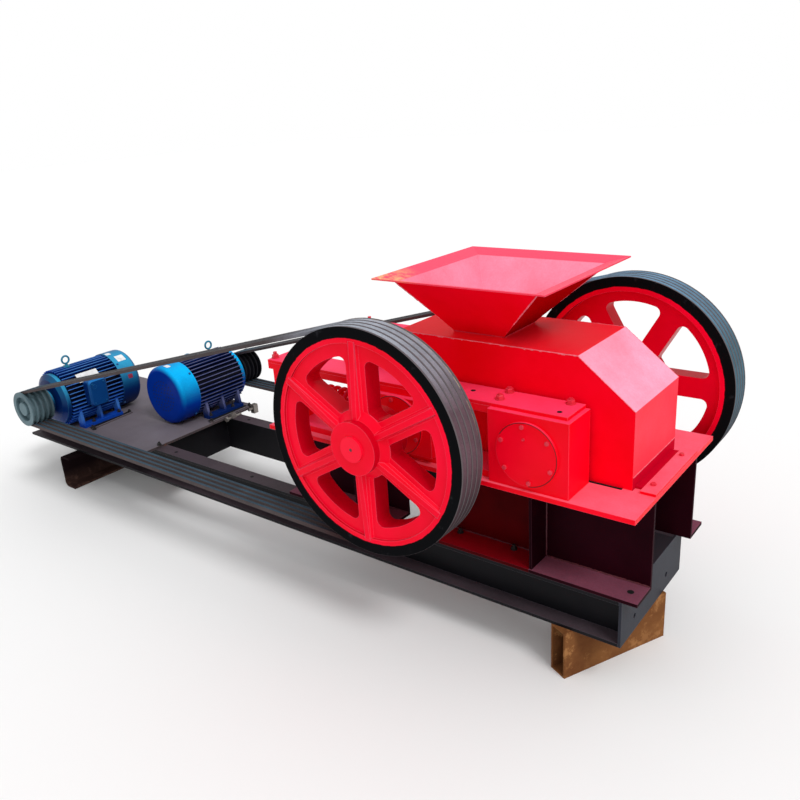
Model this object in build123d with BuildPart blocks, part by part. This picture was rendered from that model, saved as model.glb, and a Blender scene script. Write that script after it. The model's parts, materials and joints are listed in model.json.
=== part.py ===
from build123d import *
import math
import os

# Two-motor toothed roll crusher on a channel base, millimetres, +Z up
# Heights, from the floor up to the roll axis
block_h = 150.0
channel_h = 140.0
stand_h = 264.0
table_t = 14.0
axis_up = 103.0

# Rolls and their spacing
roll_pitch = 418.0
roll_body_r = 172.0
tooth_tip_r = 199.0
roll_len = 250.0
tooth_rings = 5
teeth_per_ring = 12
ring_gap = 8.0
shaft_r = 37.0
fit = 0.3

# Big belt pulleys
pulley_r = 330.0
pulley_w = 97.0
pulley_out = 449.0
rim_depth = 31.0
web_t = 56.0
web_set = 8.0
window_out_r = 248.0
window_in_r = 96.0
spoke_w = 66.0
rib_w = 33.0
hub_r = 77.0
hub_front = 32.0
hub_back = 16.0
grooves = 4
groove_pitch = 22.5
groove_top = 17.0
groove_deep = 13.0
belt_h = 11.0
groove_slope = math.tan(math.radians(17))

# Motors and their pulleys
small_r = 74.0
motor1_x = 1876.0
motor2_x = 1455.0
motor_drop = 243.0
motor_body_r = 108.0
fin_r = 124.0
fin_t = 4.0
fins = 28
cowl_r = 127.0
cowl_len = 96.0
body_len = 250.0
shield_len = 46.0
shield_r = 112.0
nose_gap = 10.0
motor_shaft_r = 19.0
foot_w = 44.0
foot_span = 216.0
foot_t = 16.0

# Base frame of channels
base_left = 2298.0
base_right = 668.0
base_near = 240.0
base_far = 205.0
flange_w = 58.0
flange_t = 10.0
web_thk = 8.0
plate_t = 10.0
plate_left = 2262.0
plate_right = 1290.0
plate_side = 300.0
end_hole_r = 8.0
end_hole_y = -148.0
end_hole_gap = 235.0
end_hole_up = 47.0

# Stand and table
table_left = 534.0
table_right = 712.0
table_side = 290.0
stand_right = 708.0
leg_len = 311.0
leg_t = 8.0
leg_near = 150.0
leg_far = 168.0
foot_plate_t = 10.0
throat_left = 205.0
throat_right = 622.0
throat_side = 136.0

# Hood and hopper
hood_side = 150.0
sheet = 6.0
hood_left = 230.0
hood_right = 648.0
hood_shoulder = 112.0
hood_top = 236.0
hood_top_left = 80.0
hood_top_right = 492.0
hood_shaft_r = 46.0
hop_l = 78.0
hop_r = 241.0
hop_side = 86.0
cone_l = -28.0
cone_r = 410.0
cone_side = 212.0
cone_h = 160.0
lip_w = 47.0
lip_rise = 12.0
hop_sheet = 4.0

# Bearing boxes and guide frames
box_half = 116.0
box_in = 162.0
box_w = 119.0
box_up = 105.0
cover_t = 8.0
cover_r = 88.0
top_plate_t = 10.0
top_plate_w = 103.0
top_plate_l = 531.0
top_plate_r = 522.0
rail_h = 20.0
slide_gap = 0.5
post_w = 100.0
spring_r = 46.0
spring_wire = 14.0
rod_r = 15.0

# Derived places
table_z = block_h + channel_h + stand_h + table_t
axis_z = table_z + axis_up
stand_z = block_h + channel_h
table_under = table_z - table_t
origin_x = (base_left - roll_pitch - pulley_r) / 2
near_x = origin_x
far_x = origin_x + roll_pitch
m_z = axis_z - motor_drop
plate_z = stand_z + plate_t


def bar(x0, x1, y0, y1, z0, z1, mode=Mode.ADD):
    with Locations(((x0 + x1) / 2 + origin_x, (y0 + y1) / 2, (z0 + z1) / 2)):
        Box(abs(x1 - x0), abs(y1 - y0), abs(z1 - z0), mode=mode)


def finish(part, label):
    part.label = label
    export_step(part, "parts/" + label + ".step")


os.makedirs("parts", exist_ok=True)


# Grooved outline of a pulley's rim, half section in radius and width
def groove_cut(radius, middle, axis_x, height):
    first = middle - groove_pitch * (grooves - 1) / 2
    bottom = groove_top / 2 - groove_deep * groove_slope
    with BuildSketch(Plane.XY.offset(height)) as vees:
        for i in range(grooves):
            c = first + i * groove_pitch
            with BuildLine():
                Polyline(
                    (axis_x + radius + 1, c - groove_top / 2 - groove_slope),
                    (axis_x + radius - groove_deep, c - bottom),
                    (axis_x + radius - groove_deep, c + bottom),
                    (axis_x + radius + 1, c + groove_top / 2 + groove_slope),
                    close=True,
                )
            make_face()
    revolve(vees.sketch, axis=Axis((axis_x, 0, height), (0, 1, 0)), mode=Mode.SUBTRACT)


# Big spoked pulley: turned rim, windowed web with raised ribs, long hub
def big_pulley(axis_x, side, turn):
    out = Plane(origin=(axis_x, side * pulley_out, axis_z), x_dir=(1, 0, 0), z_dir=(0, side, 0))
    with BuildPart() as p:
        with BuildSketch(out):
            Circle(pulley_r)
            Circle(pulley_r - rim_depth - 14, mode=Mode.SUBTRACT)
        extrude(amount=-pulley_w)
        with BuildSketch(out.offset(-web_set)):
            Circle(pulley_r - rim_depth)
        extrude(amount=-web_t)
        with BuildSketch(out) as windows:
            Circle(window_out_r)
            Circle(window_in_r, mode=Mode.SUBTRACT)
            with Locations(*[Location((0, 0), turn + 60 * i) for i in range(3)]):
                Rectangle(2 * pulley_r, spoke_w, mode=Mode.SUBTRACT)
            fillet(windows.vertices(), 20)
        extrude(amount=-pulley_w, mode=Mode.SUBTRACT)
        with BuildSketch(out.offset(-web_set)):
            with Locations(*[Location((0, 0), turn + 60 * i) for i in range(3)]):
                Rectangle(2 * (pulley_r - rim_depth), rib_w)
        extrude(amount=web_set, taper=30)
        with BuildSketch(out.offset(hub_front)):
            Circle(hub_r)
        extrude(amount=-(hub_front + pulley_w + hub_back))
        with BuildSketch(out.offset(hub_front)):
            Circle(shaft_r + fit)
        extrude(amount=-(hub_front + pulley_w + hub_back), mode=Mode.SUBTRACT)
        groove_cut(pulley_r, side * (pulley_out - pulley_w / 2), axis_x, axis_z)
    return p.part


near_pulley = big_pulley(near_x, -1, 30)
finish(near_pulley, "near_pulley")
far_pulley = big_pulley(far_x, 1, 0)
finish(far_pulley, "far_pulley")


# Toothed roll with its shaft: rings of pyramid teeth on a turned body
def roll(axis_x, side):
    ring_w = (roll_len - ring_gap * (tooth_rings - 1)) / tooth_rings
    shaft_out = pulley_out + hub_front + 6
    with BuildPart() as p:
        with BuildSketch(Plane(origin=(axis_x, roll_len / 2, axis_z), x_dir=(1, 0, 0), z_dir=(0, -1, 0))):
            Circle(roll_body_r)
        extrude(amount=roll_len)
        for i in range(tooth_rings):
            y0 = -roll_len / 2 + i * (ring_w + ring_gap)
            plane = Plane(origin=(axis_x, y0 + ring_w, axis_z), x_dir=(1, 0, 0), z_dir=(0, -1, 0))
            with BuildSketch(plane):
                with BuildLine():
                    Polyline(*ring_points(i % 2), close=True)
                make_face()
            extrude(amount=ring_w)
        far_end = box_in + box_w - 30
        y0 = -shaft_out if side < 0 else -far_end
        y1 = far_end if side < 0 else shaft_out
        with BuildSketch(Plane(origin=(axis_x, y1, axis_z), x_dir=(1, 0, 0), z_dir=(0, -1, 0))):
            Circle(shaft_r)
        extrude(amount=y1 - y0)
    return p.part


def ring_points(odd):
    step = 2 * math.pi / teeth_per_ring
    points = []
    for k in range(teeth_per_ring):
        a = (k + odd / 2) * step
        for r, share in ((roll_body_r, -0.32), (tooth_tip_r, -0.1), (tooth_tip_r, 0.1), (roll_body_r, 0.32)):
            points.append((r * math.cos(a + share * step), r * math.sin(a + share * step)))
    return points


near_roll = roll(near_x, -1)
finish(near_roll, "near_roll")
far_roll = roll(far_x, 1)
finish(far_roll, "far_roll")


# Motor pulley turned with its shaft
def motor_rotor(axis_x, side):
    out = Plane(origin=(axis_x, side * pulley_out, m_z), x_dir=(1, 0, 0), z_dir=(0, side, 0))
    with BuildPart() as p:
        with BuildSketch(out):
            Circle(small_r)
        extrude(amount=-pulley_w)
        with BuildSketch(out):
            Circle(small_r - groove_deep - 8)
            Circle(motor_shaft_r + 10, mode=Mode.SUBTRACT)
        extrude(amount=-18, mode=Mode.SUBTRACT)
        groove_cut(small_r, side * (pulley_out - pulley_w / 2), axis_x, m_z)
        with BuildSketch(out.offset(-pulley_w)):
            Circle(motor_shaft_r)
        extrude(amount=-(nose_gap + shield_len + 30))
    return p.part


# Finned stator frame on two feet, with the bore that takes the shaft
def motor_frame(axis_x, side):
    front = pulley_out - pulley_w - nose_gap - shield_len
    face = Plane(origin=(axis_x, side * front, m_z), x_dir=(-side, 0, 0), z_dir=(0, side, 0))
    with BuildPart() as p:
        with BuildSketch(face):
            Circle(motor_body_r)
            with PolarLocations(motor_body_r + (fin_r - motor_body_r) / 2 - 2, fins):
                Rectangle(fin_r - motor_body_r + 4, fin_t)
        extrude(amount=-body_len)
        with BuildSketch(face):
            Circle(motor_shaft_r + 3)
        extrude(amount=-36, mode=Mode.SUBTRACT)
        for s in (-1, 1):
            with BuildSketch(face.offset(-30)):
                with BuildLine():
                    Polyline(
                        (s * (foot_span / 2 - foot_w / 2), plate_z - m_z),
                        (s * (foot_span / 2 + foot_w / 2), plate_z - m_z),
                        (s * (foot_span / 2 + foot_w / 2), plate_z - m_z + foot_t),
                        (s * (foot_span / 2 + 4), plate_z - m_z + foot_t),
                        (s * (foot_span / 2 - foot_w / 4), -60),
                        (s * (foot_span / 2 - foot_w), -60),
                        close=True,
                    )
                make_face()
            extrude(amount=-(body_len - 60))
    return p.part


# Domed drive end shield
def end_shield(axis_x, side):
    y0 = pulley_out - pulley_w - nose_gap - shield_len
    with BuildPart() as p:
        with BuildSketch(Plane(origin=(axis_x, 0, m_z), x_dir=(1, 0, 0), z_dir=(0, 0, 1))):
            with BuildLine():
                Polyline(
                    (motor_shaft_r + fit, side * y0),
                    (shield_r, side * y0),
                    (shield_r, side * (y0 + shield_len * 0.35)),
                    (shield_r * 0.8, side * (y0 + shield_len * 0.62)),
                    (shield_r * 0.42, side * (y0 + shield_len * 0.78)),
                    (shield_r * 0.42, side * (y0 + shield_len)),
                    (motor_shaft_r + fit, side * (y0 + shield_len)),
                    close=True,
                )
            make_face()
        revolve(axis=Axis((axis_x, 0, m_z), (0, 1, 0)))
    return p.part


# Fan cowl: a pressed drum with a rounded back
def fan_cowl(axis_x, side):
    y0 = pulley_out - pulley_w - nose_gap - shield_len - body_len
    with BuildPart() as p:
        with BuildSketch(Plane(origin=(axis_x, side * y0, m_z), x_dir=(1, 0, 0), z_dir=(0, -side, 0))):
            Circle(cowl_r)
        extrude(amount=cowl_len)
        fillet(p.faces().sort_by(Axis.Y)[0 if side > 0 else -1].edges(), 22)
    return p.part


# Terminal box on the side of the frame
def terminal_box(axis_x, side):
    y_mid = pulley_out - pulley_w - nose_gap - shield_len - 112
    with BuildPart() as p:
        with Locations((axis_x - side * (fin_r + 24), side * y_mid, m_z - 12)):
            Box(48, 122, 112)
        fillet(p.edges().filter_by(Axis.X), 16)
        with Locations((axis_x - side * (fin_r - 10), side * y_mid, m_z - 12)):
            Box(30, 90, 80)
        with BuildSketch(Plane(origin=(axis_x, 0, m_z), x_dir=(1, 0, 0), z_dir=(0, 1, 0))):
            Circle(fin_r + fit)
        extrude(amount=pulley_out, both=True, mode=Mode.SUBTRACT)
    return p.part


for number, axis, side in ((1, origin_x - motor1_x, -1), (2, origin_x - motor2_x, 1)):
    finish(motor_rotor(axis, side), "motor%d_pulley" % number)
    finish(motor_frame(axis, side), "motor%d_frame" % number)
    finish(end_shield(axis, side), "motor%d_end_shield" % number)
    finish(fan_cowl(axis, side), "motor%d_fan_cowl" % number)
    finish(terminal_box(axis, side), "motor%d_terminal_box" % number)


# V-belts: each loop is a trapezoid swept round the two pulleys
def belts(big_x, small_x, side):
    top = 0.5
    dx = small_x - big_x
    dz = m_z - axis_z
    dist = math.hypot(dx, dz)
    lean = math.atan2(dz, dx)
    spread = math.acos((pulley_r - small_r) / dist)
    first = pulley_out - pulley_w / 2 - groove_pitch * (grooves - 1) / 2
    half_top = groove_top / 2 - top * groove_slope - fit
    half_low = groove_top / 2 - (top + belt_h) * groove_slope - fit
    with BuildPart() as p:
        for i in range(grooves):
            y = side * (first + i * groove_pitch)
            rb = pulley_r - top
            rs = small_r - top
            a0 = lean + spread
            a1 = lean - spread

            def at(x, z, r, a):
                return (x + r * math.cos(a), y, z + r * math.sin(a))

            with BuildLine() as path:
                Line(at(big_x, axis_z, rb, a1), at(small_x, m_z, rs, a1))
                ThreePointArc(at(small_x, m_z, rs, a1), at(small_x, m_z, rs, lean), at(small_x, m_z, rs, a0))
                Line(at(small_x, m_z, rs, a0), at(big_x, axis_z, rb, a0))
                ThreePointArc(at(big_x, axis_z, rb, a0), at(big_x, axis_z, rb, lean + math.pi), at(big_x, axis_z, rb, a1))
            foot = Vector(*at(big_x, axis_z, rb, a1))
            run = Vector(*at(small_x, m_z, rs, a1)) - foot
            outward = Vector(math.cos(a1), 0, math.sin(a1))
            with BuildSketch(Plane(origin=foot, x_dir=(0, 1, 0), z_dir=run.normalized())) as section:
                up = 1 if Plane(origin=foot, x_dir=(0, 1, 0), z_dir=run.normalized()).y_dir.dot(outward) > 0 else -1
                with BuildLine():
                    Polyline(
                        (-half_top, 0),
                        (half_top, 0),
                        (half_low, -up * belt_h),
                        (-half_low, -up * belt_h),
                        close=True,
                    )
                make_face()
            sweep(path=path.wire())
    return p.part


finish(belts(near_x, origin_x - motor1_x, -1), "near_belts")
finish(belts(far_x, origin_x - motor2_x, 1), "far_belts")

# Base frame: two long channels, flanges outward
with BuildPart() as near_channel:
    bar(-base_left, base_right - web_thk, -base_near + flange_w - web_thk, -base_near + flange_w, block_h, stand_z)
    bar(-base_left, base_right - web_thk, -base_near, -base_near + flange_w, block_h, block_h + flange_t)
    bar(-base_left, base_right - web_thk, -base_near, -base_near + flange_w, stand_z - flange_t, stand_z)
finish(near_channel.part, "near_channel")

with BuildPart() as far_channel:
    bar(-base_left, base_right - web_thk, base_far - flange_w, base_far - flange_w + web_thk, block_h, stand_z)
    bar(-base_left, base_right - web_thk, base_far - flange_w, base_far, block_h, block_h + flange_t)
    bar(-base_left, base_right - web_thk, base_far - flange_w, base_far, stand_z - flange_t, stand_z)
finish(far_channel.part, "far_channel")

inner_near = -base_near + flange_w
inner_far = base_far - flange_w

# End channel with its web outward, lapped over the ends of the long ones
with BuildPart() as end_channel:
    bar(base_right - web_thk, base_right, -base_near, base_far, block_h, stand_z)
    bar(base_right - flange_w, base_right - web_thk, inner_near, inner_far, block_h, block_h + flange_t)
    bar(base_right - flange_w, base_right - web_thk, inner_near, inner_far, stand_z - flange_t, stand_z)
    end_face = Plane(origin=(origin_x + base_right, 0, 0), x_dir=(0, 1, 0), z_dir=(1, 0, 0))
    with BuildSketch(end_face):
        with Locations(*[(y, block_h + end_hole_up) for y in (end_hole_y, end_hole_y + end_hole_gap)]):
            Circle(end_hole_r)
    extrude(amount=-web_thk, mode=Mode.SUBTRACT)
finish(end_channel.part, "end_channel")


# Cross channels between the long webs
def cross_channel(x0, turn):
    with BuildPart() as p:
        web_x = x0 if turn > 0 else x0 + flange_w - web_thk
        bar(web_x, web_x + web_thk, inner_near, inner_far, block_h, stand_z)
        bar(x0, x0 + flange_w, inner_near, inner_far, block_h, block_h + flange_t)
        bar(x0, x0 + flange_w, inner_near, inner_far, stand_z - flange_t, stand_z)
    return p.part


finish(cross_channel(-base_left, 1), "motor_end_channel")
finish(cross_channel(-plate_right - flange_w - 20, -1), "plate_cross_channel")

with BuildPart() as motor_plate:
    bar(-plate_left, -plate_right, -plate_side, plate_side, stand_z, plate_z)
finish(motor_plate.part, "motor_plate")

# Loose support pieces under the base
with BuildPart() as left_block:
    bar(-1930, -1858, -315, 235, 0, block_h)
    bar(-1930, -1866, -315, 235, 9, block_h - 9, mode=Mode.SUBTRACT)
finish(left_block.part, "left_support")

skew = Plane(origin=(origin_x + 520, -264, 0), x_dir=(0.902, -0.433, 0), z_dir=(0, 0, 1))
with BuildPart() as right_block:
    with BuildSketch(skew):
        with Locations((-30, 183)):
            Rectangle(60, 366)
    extrude(amount=block_h)
    with BuildSketch(skew.offset(6)):
        with Locations((-30, 183)):
            Rectangle(48, 380)
    extrude(amount=block_h - 12, mode=Mode.SUBTRACT)
finish(right_block.part, "right_support")


# Stand legs: upright plate, end rib and foot flange
def leg(x0, side, y_web, rib_at):
    y_out = base_near if side < 0 else y_web + base_near - leg_near
    with BuildPart() as p:
        bar(x0, x0 + leg_len, side * (y_web - leg_t), side * y_web, stand_z, table_under)
        bar(rib_at, rib_at + leg_t, side * y_web, side * (y_out - 4), stand_z + foot_plate_t, table_under)
        bar(x0, x0 + leg_len, side * y_web, side * y_out, stand_z, stand_z + foot_plate_t)
    return p.part


right_x0 = stand_right - leg_len
finish(leg(right_x0, -1, leg_near, right_x0), "near_right_leg")
finish(leg(right_x0, 1, leg_far, right_x0), "far_right_leg")
finish(leg(-table_left, -1, leg_near, -table_left + leg_len - leg_t), "near_left_leg")
finish(leg(-table_left, 1, leg_far, -table_left + leg_len - leg_t), "far_left_leg")

with BuildPart() as table:
    bar(-table_left, table_right, -table_side, table_side, table_under, table_z)
    bar(-throat_left, throat_right, -throat_side, throat_side, table_under, table_z, mode=Mode.SUBTRACT)
finish(table.part, "table_plate")

# Hood: folded sheet over both rolls, open below and at the hopper's throat
hood_plane = Plane(origin=(origin_x, hood_side, axis_z), x_dir=(1, 0, 0), z_dir=(0, -1, 0))
with BuildPart() as hood:
    with BuildSketch(hood_plane):
        with BuildLine():
            Polyline(
                (-hood_left, -axis_up),
                (hood_right, -axis_up),
                (hood_right, hood_shoulder),
                (hood_top_right, hood_top),
                (-hood_top_left, hood_top),
                (-hood_left, hood_shoulder),
                close=True,
            )
        make_face()
    extrude(amount=2 * hood_side)
    offset(amount=-sheet, openings=hood.faces().sort_by(Axis.Z)[0])
    with BuildSketch(hood_plane):
        with Locations((0, 0), (roll_pitch, 0)):
            Circle(hood_shaft_r)
    extrude(amount=2 * hood_side, mode=Mode.SUBTRACT)
    bar(hop_l, hop_r, -hop_side, hop_side, axis_z + hood_top - 2 * sheet, axis_z + hood_top + 1, mode=Mode.SUBTRACT)
    bar(hood_right, hood_right + 42, -132, 132, table_z, table_z + sheet)
    bar(-hood_left - 42, -hood_left, -132, 132, table_z, table_z + sheet)
finish(hood.part, "hood")

# Hopper: four leaning sheets with a flared lip
hop_z = axis_z + hood_top


def hop_rect(x0, x1, half, z):
    with BuildSketch(Plane.XY.offset(z)) as rect:
        with Locations((origin_x + (x0 + x1) / 2, 0)):
            Rectangle(x1 - x0, 2 * half)
    return rect.sketch


def hop_skin(inset, rise):
    low = hop_rect(hop_l + inset, hop_r - inset, hop_side - inset, hop_z)
    neck = hop_rect(cone_l + inset, cone_r - inset, cone_side - inset, hop_z + cone_h + rise)
    brim = hop_rect(cone_l - lip_w, cone_r + lip_w, cone_side + lip_w, hop_z + cone_h + lip_rise + rise)
    return low, neck, brim


outer_low, outer_neck, outer_brim = hop_skin(0, 0)
inner_low, inner_neck, inner_brim = hop_skin(hop_sheet, hop_sheet)
with BuildPart() as hopper:
    loft([outer_low, outer_neck], ruled=True)
    loft([outer_neck, outer_brim], ruled=True)
    extrude(outer_brim, amount=hop_sheet)
    loft([inner_low, inner_neck], ruled=True, mode=Mode.SUBTRACT)
    loft([inner_neck, inner_brim], ruled=True, mode=Mode.SUBTRACT)
finish(hopper.part, "hopper")


# Bearing box with a bore for the shaft
def bearing_box(axis_x, side, up, down, through):
    with BuildPart() as p:
        with Locations((axis_x, side * (box_in + box_w / 2), axis_z + (up - down) / 2)):
            Box(2 * box_half, box_w, up + down)
        depth = box_w if through else box_w - 20
        with BuildSketch(Plane(origin=(axis_x, side * box_in, axis_z), x_dir=(1, 0, 0), z_dir=(0, side, 0))):
            Circle(shaft_r + fit)
        extrude(amount=depth, mode=Mode.SUBTRACT)
    return p.part


# Round end cover, open for the driven shaft or closed
def cover(axis_x, side, through):
    with BuildPart() as p:
        with BuildSketch(Plane(origin=(axis_x, side * (box_in + box_w), axis_z), x_dir=(1, 0, 0), z_dir=(0, side, 0))):
            Circle(cover_r)
            if through:
                Circle(shaft_r + fit + 2, mode=Mode.SUBTRACT)
        extrude(amount=cover_t)
    return p.part


slide_up = box_up - rail_h - slide_gap
slide_down = axis_up - rail_h - slide_gap
for name, side in (("near", -1), ("far", 1)):
    fixed_box = bearing_box(far_x, side, box_up, axis_up, side > 0)
    finish(fixed_box, name + "_fixed_box")
    finish(cover(far_x, side, side > 0), name + "_fixed_cover")
    finish(bearing_box(near_x, side, slide_up, slide_down, side < 0), name + "_sliding_box")
    finish(cover(near_x, side, side < 0), name + "_sliding_cover")
    y_in = side * box_in
    y_out = side * (box_in + top_plate_w)
    with BuildPart() as top_plate:
        bar(-top_plate_l, top_plate_r, y_in, y_out, axis_z + box_up, axis_z + box_up + top_plate_t)
    finish(top_plate.part, name + "_top_plate")
    with BuildPart() as guide:
        bar(-top_plate_l, roll_pitch - box_half, y_in, y_out, axis_z + box_up - rail_h, axis_z + box_up)
        bar(-top_plate_l, roll_pitch - box_half, y_in, y_out, table_z, table_z + rail_h)
        bar(-top_plate_l + 20, -top_plate_l + post_w, y_in, y_out, table_z + rail_h, axis_z + box_up - rail_h)
    finish(guide.part, name + "_guide_frame")
    y_mid = side * (box_in + top_plate_w / 2)
    x0 = origin_x - top_plate_l + post_w
    x1 = near_x - box_half
    with BuildPart() as spring:
        with BuildSketch(Plane(origin=(0, y_mid, axis_z), x_dir=(1, 0, 0), z_dir=(0, -1, 0))):
            with BuildLine():
                Polyline(
                    (x0, rod_r + 4),
                    (x0, spring_r),
                    (x1, spring_r),
                    (x1, rod_r + 4),
                    close=True,
                )
            make_face()
        revolve(axis=Axis((0, y_mid, axis_z), (1, 0, 0)))
    finish(spring.part, name + "_spring")
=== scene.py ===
"""Looks of the two-motor toothed roll crusher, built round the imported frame. Metres."""
import json
import math
import random

import bmesh
import bpy
from mathutils import Matrix, Vector


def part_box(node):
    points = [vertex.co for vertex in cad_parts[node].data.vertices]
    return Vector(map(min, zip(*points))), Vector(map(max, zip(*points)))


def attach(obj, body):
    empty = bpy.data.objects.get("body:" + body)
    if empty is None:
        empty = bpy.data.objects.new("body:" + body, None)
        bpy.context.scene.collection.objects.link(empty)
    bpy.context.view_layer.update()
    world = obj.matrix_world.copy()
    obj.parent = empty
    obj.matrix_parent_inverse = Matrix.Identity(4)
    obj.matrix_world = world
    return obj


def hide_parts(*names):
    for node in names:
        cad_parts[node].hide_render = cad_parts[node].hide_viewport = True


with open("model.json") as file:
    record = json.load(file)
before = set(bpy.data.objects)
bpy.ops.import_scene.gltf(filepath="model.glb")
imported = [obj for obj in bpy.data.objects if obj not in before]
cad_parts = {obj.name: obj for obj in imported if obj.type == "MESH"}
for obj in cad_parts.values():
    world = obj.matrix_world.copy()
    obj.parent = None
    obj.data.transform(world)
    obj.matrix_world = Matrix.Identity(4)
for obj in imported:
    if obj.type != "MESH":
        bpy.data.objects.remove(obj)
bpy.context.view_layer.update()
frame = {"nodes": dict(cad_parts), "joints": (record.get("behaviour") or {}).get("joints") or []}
X = Vector((1, 0, 0))
Y = Vector((0, 1, 0))
Z = Vector((0, 0, 1))
GRAIN = random.Random(7)

# Places read from the frame
JOINT_AXIS = {joint["name"]: Vector(joint["pos_m"]) for joint in frame["joints"]}
NEAR_AXIS = JOINT_AXIS["near_roll_turn"]
FAR_AXIS = JOINT_AXIS["far_roll_turn"]
MOTOR_AXIS = {1: JOINT_AXIS["motor1_turn"], 2: JOINT_AXIS["motor2_turn"]}

# Near roll's axis as the hood and the hopper are measured from it
ROLL_X, ROLL_Z = 0.775, 0.671
HOOD_TOP = 0.907

# Wheels: radius, outer face of the ribs, how far the hub stands out from it and the shaft from the hub
WHEEL_RADIUS = 0.330
RIB_FACE = 0.449
HUB_OUT, SHAFT_OUT = 0.032, 0.006

# Motors: lengths along the shaft, drum, feet, cowl and eyebolt
NOSE_GAP, SHIELD_LENGTH, BODY_LENGTH = 0.010, 0.046, 0.250
PULLEY_WIDTH = 0.097
DRUM_RADIUS, FIN_RADIUS, FIN_COUNT = 0.108, 0.124, 42
FOOT_TOP = 0.314
COWL_SKIN, COWL_LENGTH = 0.1271, 0.0962
EYE_BACK, EYE_UP = 0.075, 0.153

# Terminal box: size, and its middle back from the drive end and up from the shaft
BOX_WIDTH, BOX_HEIGHT, BOX_DEPTH = 0.084, 0.116, 0.044
BOX_BACK, BOX_UP = 0.106, 0.022
GLAND_OUT, GLAND_SIDE = 0.142, 0.0168

# Stand: top of the base, and the legs' plates with their ends and ribs
BASE_TOP = 0.300
LEG_WEB = {"near": 0.150, "far": 0.168}
SIDES = (("near", -1), ("far", 1))
RIGHT_LEG, LEFT_LEG = (0.870, 1.483), (0.241, 0.690)
RIGHT_RIB, LEFT_RIB = 1.172, 0.544

# Paint and metal: width of the lighter edges, painted highlight and rubbed paint, and depth of the uneven
# skin
LIT_AND_RUBBED_EDGE = 0.0022
PAINT_DEPTH, METAL_DEPTH = 0.0006, 0.0005


# Shader group shared by several finishes: takes colours and values, gives a colour and one value more
def make_group(name, colours, values, gives):
    group = bpy.data.node_groups.new(name, "ShaderNodeTree")
    sockets = group.interface
    for label in colours:
        sockets.new_socket(name=label, in_out="INPUT", socket_type="NodeSocketColor")
    for label, value in values.items():
        kind = "NodeSocketVector" if isinstance(value, tuple) else "NodeSocketFloat"
        sockets.new_socket(name=label, in_out="INPUT", socket_type=kind).default_value = value
    sockets.new_socket(name="Color", in_out="OUTPUT", socket_type="NodeSocketColor")
    sockets.new_socket(name=gives, in_out="OUTPUT", socket_type="NodeSocketFloat")
    source = group.nodes.new("NodeGroupInput").outputs
    sink = group.nodes.new("NodeGroupOutput").inputs
    return group, source, sink


def add(tree, kind, **values):
    node = tree.nodes.new(kind)
    for key, value in values.items():
        setattr(node, key, value)
    return node


# Sets an input to a number, a vector or a colour, or links it to another node
def feed(tree, socket, value):
    if hasattr(value, "is_linked"):
        tree.links.new(value, socket)
    elif isinstance(value, (int, float)) or socket.type == "VECTOR":
        socket.default_value = value
    else:
        socket.default_value = (*value, 1.0)


def object_place(tree):
    return add(tree, "ShaderNodeTexCoord").outputs["Object"]


def coordinate(tree, axis):
    parts = add(tree, "ShaderNodeSeparateXYZ")
    tree.links.new(object_place(tree), parts.inputs[0])
    return parts.outputs[axis]


def noise(tree, scale, detail, roughness, vector):
    node = add(tree, "ShaderNodeTexNoise")
    node.inputs["Detail"].default_value = detail
    node.inputs["Roughness"].default_value = roughness
    feed(tree, node.inputs["Scale"], scale)
    tree.links.new(vector, node.inputs["Vector"])
    return node.outputs["Fac"]


def remap(tree, value, low, high, out_low=0.0, out_high=1.0):
    node = add(tree, "ShaderNodeMapRange", clamp=True)
    tree.links.new(value, node.inputs["Value"])
    node.inputs["From Min"].default_value = low
    node.inputs["From Max"].default_value = high
    node.inputs["To Min"].default_value = out_low
    node.inputs["To Max"].default_value = out_high
    return node.outputs["Result"]


def calc(tree, operation, a, b=None):
    node = add(tree, "ShaderNodeMath", operation=operation)
    feed(tree, node.inputs[0], a)
    if b is not None:
        feed(tree, node.inputs[1], b)
    return node.outputs[0]


def times(tree, first, *others):
    for other in others:
        first = calc(tree, "MULTIPLY", first, other)
    return first


def blend_colour(tree, factor, a, b, mode="MIX"):
    node = add(tree, "ShaderNodeMix", data_type="RGBA", blend_type=mode)
    for socket, value in ((node.inputs[0], factor), (node.inputs[6], a), (node.inputs[7], b)):
        feed(tree, socket, value)
    return node.outputs[2]


# How squarely a surface faces one way
def facing(tree, way):
    shape = add(tree, "ShaderNodeNewGeometry")
    match = add(tree, "ShaderNodeVectorMath", operation="DOT_PRODUCT")
    tree.links.new(shape.outputs["Normal"], match.inputs[0])
    feed(tree, match.inputs[1], way)
    return match.outputs["Value"]


# Dust and painted sheen on surfaces facing one way, thinned out by noise; the sheen stands in for light
def dust_and_sheen_group():
    group, source, sink = make_group(
        "Settled dust", ("Paint", "Dust"),
        {"Amount": 0.5, "Patch Scale": 6.0, "Facing": (0, 0, 1), "Sharpness": 1.0}, "Mask",
    )
    where = object_place(group)
    up = remap(group, facing(group, source["Facing"]), 0.35, 1.0)
    up = calc(group, "POWER", up, source["Sharpness"])
    patches = noise(group, source["Patch Scale"], 6.0, 0.6, where)
    coarse = remap(group, patches, 0.3, 0.7, 0.6, 1.0)
    fine = remap(group, noise(group, 160.0, 3.0, 0.7, where), 0.3, 0.7, 0.85, 1.0)
    mask = times(group, up, coarse, fine, source["Amount"])
    colour = blend_colour(group, mask, source["Paint"], source["Dust"])
    group.links.new(colour, sink["Color"])
    group.links.new(mask, sink["Mask"])
    return group


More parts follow.
